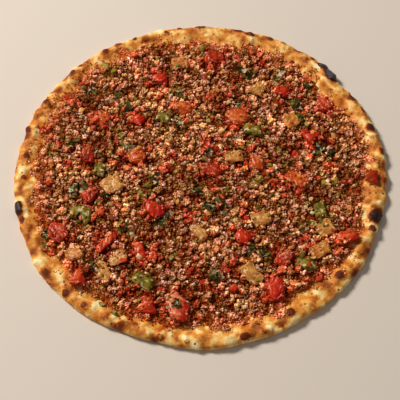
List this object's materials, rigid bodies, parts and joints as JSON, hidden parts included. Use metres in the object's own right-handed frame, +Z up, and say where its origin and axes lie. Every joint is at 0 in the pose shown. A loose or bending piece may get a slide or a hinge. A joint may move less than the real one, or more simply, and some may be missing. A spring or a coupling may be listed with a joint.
{
  "type": "lahmacun",
  "caption": "Round lahmacun: thin blistered flatbread under baked spiced mince with diced tomato, green pepper, onion and parsley.",
  "frame": {"origin": "middle of the bread's flat underside, in the middle of the bounding box", "axes": "+Z up through the topping, +Y away from the viewer, +X to the viewer's right"},
  "size_m": [0.2906, 0.2904, 0.0121],
  "materials": {
    "dough": "matte baked flatbread, golden with brown char spots",
    "mince": "baked minced meat, slightly greasy",
    "tomato": "wet baked tomato",
    "pepper": "baked green pepper",
    "onion": "translucent baked onion",
    "parsley": "chopped parsley leaf"
  },
  "bodies": {
    "root": {"crust": "dough", "mince_layer": "mince", "onion_01": "onion", "onion_02": "onion", "onion_03": "onion", "onion_04": "onion", "onion_05": "onion", "onion_06": "onion", "onion_07": "onion", "onion_08": "onion", "onion_09": "onion", "onion_10": "onion", "onion_11": "onion", "onion_12": "onion", "onion_13": "onion", "pepper_01": "pepper", "pepper_02": "pepper", "pepper_03": "pepper", "pepper_04": "pepper", "pepper_05": "pepper", "pepper_06": "pepper", "pepper_ring": "pepper", "tomato_01": "tomato", "tomato_02": "tomato", "tomato_03": "tomato", "tomato_04": "tomato", "tomato_05": "tomato", "tomato_06": "tomato", "tomato_07": "tomato", "tomato_08": "tomato", "tomato_09": "tomato", "tomato_10": "tomato", "tomato_11": "tomato", "tomato_12": "tomato", "tomato_13": "tomato", "tomato_14": "tomato", "tomato_15": "tomato", "tomato_16": "tomato", "tomato_17": "tomato", "tomato_18": "tomato", "tomato_19": "tomato", "tomato_20": "tomato", "tomato_21": "tomato", "tomato_22": "tomato", "tomato_23": "tomato", "tomato_24": "tomato", "tomato_25": "tomato", "tomato_26": "tomato", "tomato_on_rim": "tomato"}
  },
  "joints": []
}
